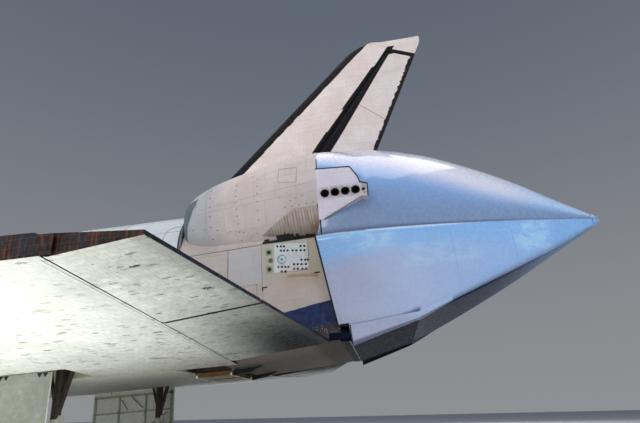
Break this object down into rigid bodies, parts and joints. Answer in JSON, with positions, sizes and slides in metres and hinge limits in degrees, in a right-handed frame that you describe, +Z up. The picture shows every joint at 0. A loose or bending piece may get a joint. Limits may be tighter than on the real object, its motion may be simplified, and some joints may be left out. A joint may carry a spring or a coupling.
{
  "type": "half-scale space shuttle orbiter with ferry tail fairing",
  "caption": "Winged space shuttle orbiter parked on its landing gear, with a cone-shaped tail fairing, hinged bay doors, control surfaces and crew hatch.",
  "frame": {"origin": "on the ground plane, below the middle of the whole box", "axes": "+X aft (the tail fairing points to +X), +Y starboard, +Z up"},
  "size_m": [21.0122, 11.8872, 8.6325],
  "materials": {
    "black_tile": "satin glazed tile",
    "cabin_grey": "matt paint",
    "carbon_edge": "coated carbon panel",
    "fairing_white": "gloss white paint",
    "gear_metal": "painted and bare metal",
    "glazing": "dark pane",
    "grey_tile": "matt tile, scuffed",
    "tyre": "worn rubber",
    "wheel": "satin",
    "white_tile": "matt tile and felt"
  },
  "bodies": {
    "airframe": {"aft_fuselage": "white_tile", "engine_pod_port": "white_tile", "engine_pod_starboard": "white_tile", "flight_deck": "cabin_grey", "forward_fuselage": "white_tile", "main_gear_door_port": "grey_tile", "main_gear_door_starboard": "grey_tile", "main_gear_leg_port": "gear_metal", "main_gear_leg_starboard": "gear_metal", "nose_cap": "carbon_edge", "nose_gear_door_port": "black_tile", "nose_gear_door_starboard": "black_tile", "nose_gear_leg": "gear_metal", "payload_bay": "white_tile", "roof_window_glass": "glazing", "tail_fairing_lower": "fairing_white", "tail_fairing_tip": "fairing_white", "tail_fairing_upper": "fairing_white", "vertical_fin": "white_tile", "windshield_glass": "glazing", "wing_leading_edge_port": "carbon_edge", "wing_leading_edge_starboard": "carbon_edge", "wing_port": "grey_tile", "wing_starboard": "grey_tile"},
    "crew_hatch": {"crew_hatch": "white_tile"},
    "body_flap": {"body_flap": "grey_tile"},
    "rudder": {"rudder_hinge_tube": "gear_metal"},
    "speed_brake_port": {"rudder_panel_port": "white_tile"},
    "speed_brake_starboard": {"rudder_panel_starboard": "white_tile"},
    "nose_steering": {"nose_gear_fork": "gear_metal"},
    "nose_wheels": {"nose_rims": "wheel", "nose_tyre_port": "tyre", "nose_tyre_starboard": "tyre"},
    "main_wheels_port": {"main_rims_port": "wheel", "main_tyre_port_inner": "tyre", "main_tyre_port_outer": "tyre"},
    "elevon_inboard_port": {"elevon_inboard_port": "grey_tile"},
    "elevon_outboard_port": {"elevon_outboard_port": "grey_tile"},
    "payload_door_port": {"payload_door_port": "white_tile"},
    "tank_line_door_port": {"tank_line_door_port": "grey_tile"},
    "main_wheels_starboard": {"main_rims_starboard": "wheel", "main_tyre_starboard_inner": "tyre", "main_tyre_starboard_outer": "tyre"},
    "elevon_inboard_starboard": {"elevon_inboard_starboard": "grey_tile"},
    "elevon_outboard_starboard": {"elevon_outboard_starboard": "grey_tile"},
    "payload_door_starboard": {"payload_door_starboard": "white_tile"},
    "tank_line_door_starboard": {"tank_line_door_starboard": "grey_tile"}
  },
  "joints": [
    {"name": "crew_hatch_hinge", "type": "hinge", "parent": "airframe", "child": "crew_hatch", "pos_m": [-7.01459, -1.36652, 1.71443], "axis": [0.9982, 0, 0.0593], "range_deg": [0, 90]},
    {"name": "body_flap_hinge", "type": "hinge", "parent": "airframe", "child": "body_flap", "pos_m": [5.96089, 0, 1.73724], "axis": [0, 1, 0], "range_deg": [0, 34]},
    {"name": "rudder_hinge", "type": "hinge", "parent": "airframe", "child": "rudder", "pos_m": [5.42164, 0, 5.67459], "axis": [0.5215, 0, 0.8533], "range_deg": [-27.1, 27.1]},
    {"name": "speed_brake_port_hinge", "type": "hinge", "parent": "rudder", "child": "speed_brake_port", "pos_m": [5.42164, 0, 5.67459], "axis": [-0.5215, 0, -0.8533], "range_deg": [0, 49.3]},
    {"name": "speed_brake_starboard_hinge", "type": "hinge", "parent": "rudder", "child": "speed_brake_starboard", "pos_m": [5.42164, 0, 5.67459], "axis": [0.5215, 0, 0.8533], "range_deg": [0, 49.3]},
    {"name": "nose_steering_hinge", "type": "hinge", "parent": "airframe", "child": "nose_steering", "pos_m": [-8.62951, 0, 0.20146], "axis": [-0.0593, 0, 0.9982], "range_deg": [-10, 10]},
    {"name": "nose_wheels_spin", "type": "hinge", "parent": "nose_steering", "child": "nose_wheels", "pos_m": [-8.62951, 0, 0.20146], "axis": [0, 1, 0], "continuous": true},
    {"name": "main_wheels_port_spin", "type": "hinge", "parent": "airframe", "child": "main_wheels_port", "pos_m": [1.54362, -1.7272, 0.28205], "axis": [0, 1, 0], "continuous": true},
    {"name": "elevon_inboard_port_hinge", "type": "hinge", "parent": "airframe", "child": "elevon_inboard_port", "pos_m": [4.12263, -2.74638, 1.62817], "axis": [0.0028, 0.9989, -0.0474], "range_deg": [-35, 20]},
    {"name": "elevon_outboard_port_hinge", "type": "hinge", "parent": "airframe", "child": "elevon_outboard_port", "pos_m": [4.11641, -4.953, 1.7328], "axis": [0.0028, 0.9989, -0.0474], "range_deg": [-35, 20]},
    {"name": "payload_door_port_hinge", "type": "hinge", "parent": "airframe", "child": "payload_door_port", "pos_m": [-1.58785, -1.35509, 2.98847], "axis": [0.9982, 0, 0.0593], "range_deg": [0, 175.5]},
    {"name": "tank_line_door_port_hinge", "type": "hinge", "parent": "airframe", "child": "tank_line_door_port", "pos_m": [3.1862, -0.5969, 1.32939], "axis": [-0.9982, 0, -0.0593], "range_deg": [0, 180]},
    {"name": "main_wheels_starboard_spin", "type": "hinge", "parent": "airframe", "child": "main_wheels_starboard", "pos_m": [1.54362, 1.7272, 0.28205], "axis": [0, 1, 0], "continuous": true},
    {"name": "elevon_inboard_starboard_hinge", "type": "hinge", "parent": "airframe", "child": "elevon_inboard_starboard", "pos_m": [4.12263, 2.74638, 1.62817], "axis": [-0.0028, 0.9989, 0.0474], "range_deg": [-35, 20]},
    {"name": "elevon_outboard_starboard_hinge", "type": "hinge", "parent": "airframe", "child": "elevon_outboard_starboard", "pos_m": [4.11641, 4.953, 1.7328], "axis": [-0.0028, 0.9989, 0.0474], "range_deg": [-35, 20]},
    {"name": "payload_door_starboard_hinge", "type": "hinge", "parent": "airframe", "child": "payload_door_starboard", "pos_m": [-1.58785, 1.35509, 2.98847], "axis": [-0.9982, 0, -0.0593], "range_deg": [0, 175.5]},
    {"name": "tank_line_door_starboard_hinge", "type": "hinge", "parent": "airframe", "child": "tank_line_door_starboard", "pos_m": [3.1862, 0.5969, 1.32939], "axis": [0.9982, 0, 0.0593], "range_deg": [0, 180]}
  ],
  "couplings": [
    {"joint": "speed_brake_starboard_hinge", "follows": "speed_brake_port_hinge", "ratio": 1}
  ]
}
